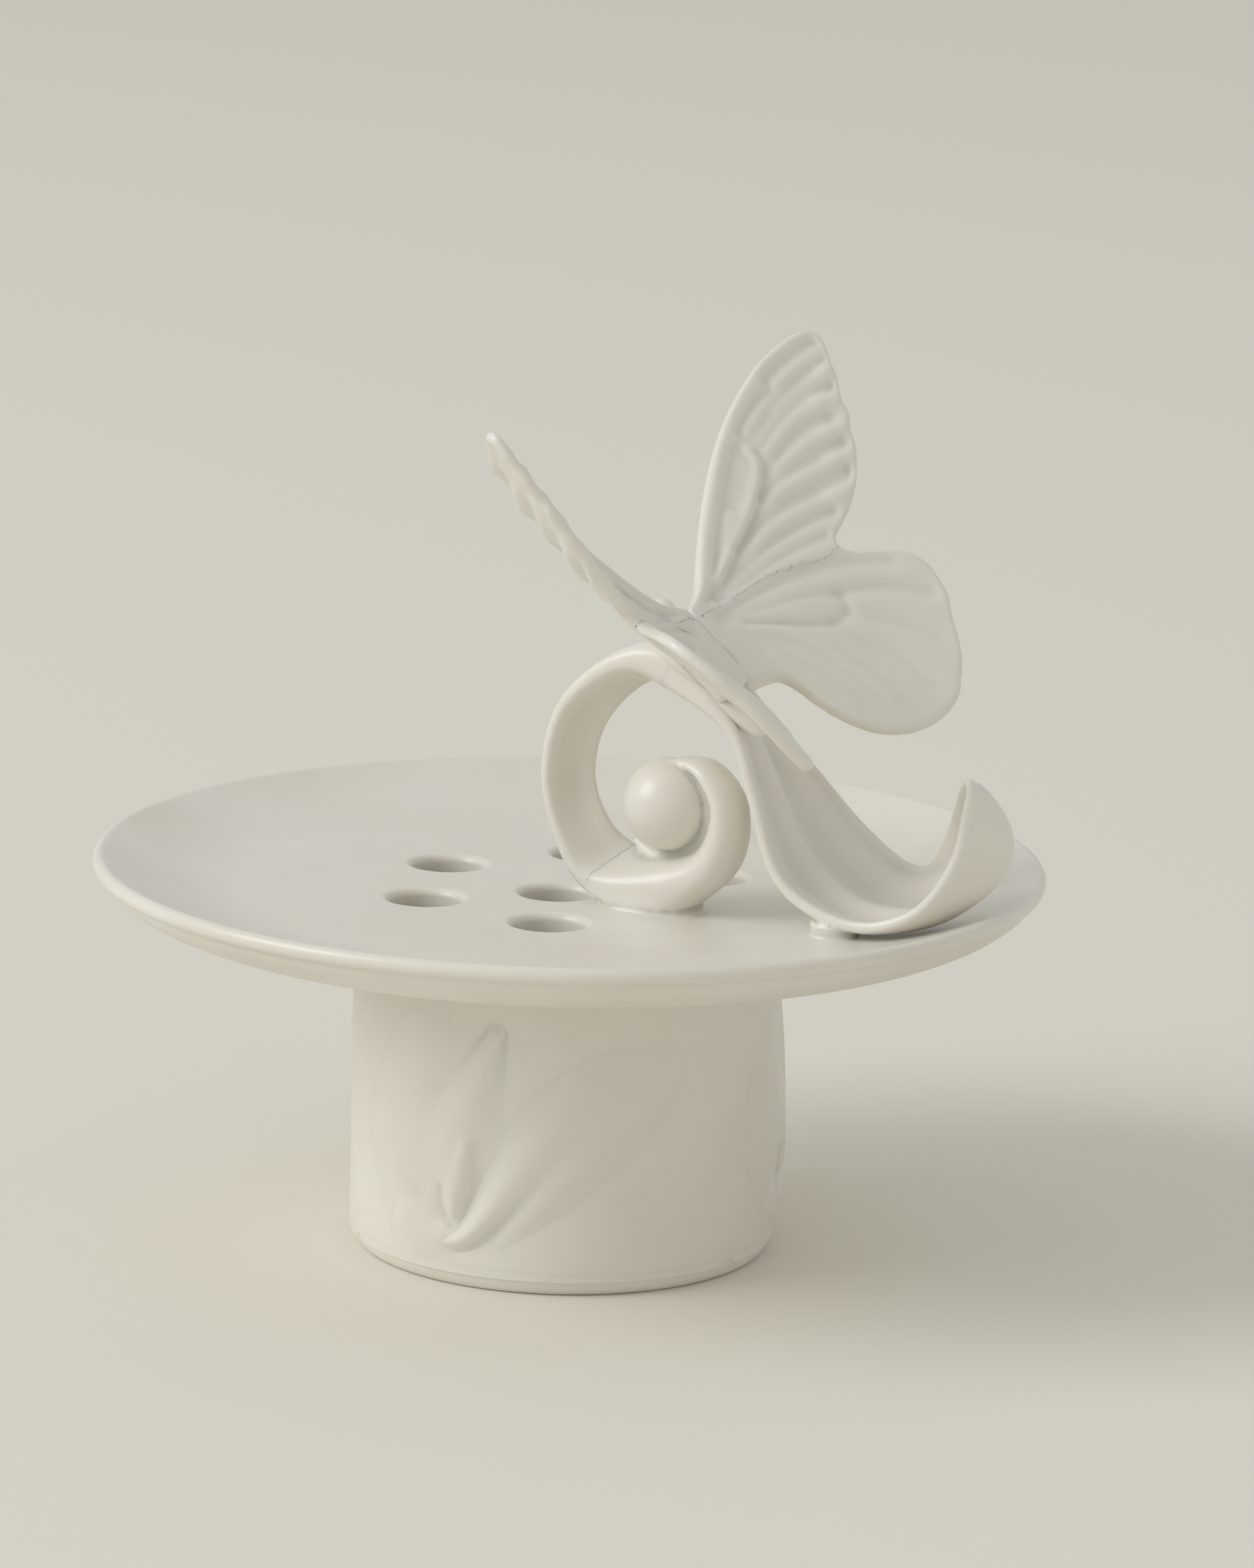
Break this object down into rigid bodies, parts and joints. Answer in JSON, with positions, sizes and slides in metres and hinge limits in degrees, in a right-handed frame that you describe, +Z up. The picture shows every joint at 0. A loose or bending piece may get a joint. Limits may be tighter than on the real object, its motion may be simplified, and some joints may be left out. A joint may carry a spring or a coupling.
{
  "type": "flower frog",
  "caption": "Porcelain flower frog: a pierced saucer on a collar that sits in a vase's mouth, with a scroll, pearl and butterfly.",
  "frame": {"origin": "centre of the collar's foot, on the saucer's axis, at the level it stands on", "axes": "+Z up along the collar and the stem holes; -Y towards the viewer's side with the tulip; +X to the right, towards the leaf's curled tip"},
  "size_m": [0.16, 0.16, 0.1513],
  "materials": {
    "glazed_porcelain": "satin"
  },
  "bodies": {
    "root": {"plate": "glazed_porcelain", "collar": "glazed_porcelain", "tulip_bloom_1": "glazed_porcelain", "tulip_bloom_2": "glazed_porcelain", "tulip_bloom_3": "glazed_porcelain", "tulip_leaf_1": "glazed_porcelain", "tulip_leaf_2": "glazed_porcelain", "tulip_leaf_3": "glazed_porcelain", "scroll_volute": "glazed_porcelain", "scroll_ring": "glazed_porcelain", "scroll_leaf": "glazed_porcelain", "leaf_foot": "glazed_porcelain", "pearl": "glazed_porcelain", "butterfly_head": "glazed_porcelain", "butterfly_thorax": "glazed_porcelain", "butterfly_abdomen": "glazed_porcelain", "forewing_left": "glazed_porcelain", "forewing_right": "glazed_porcelain", "hindwing_left": "glazed_porcelain", "hindwing_right": "glazed_porcelain"}
  },
  "joints": []
}
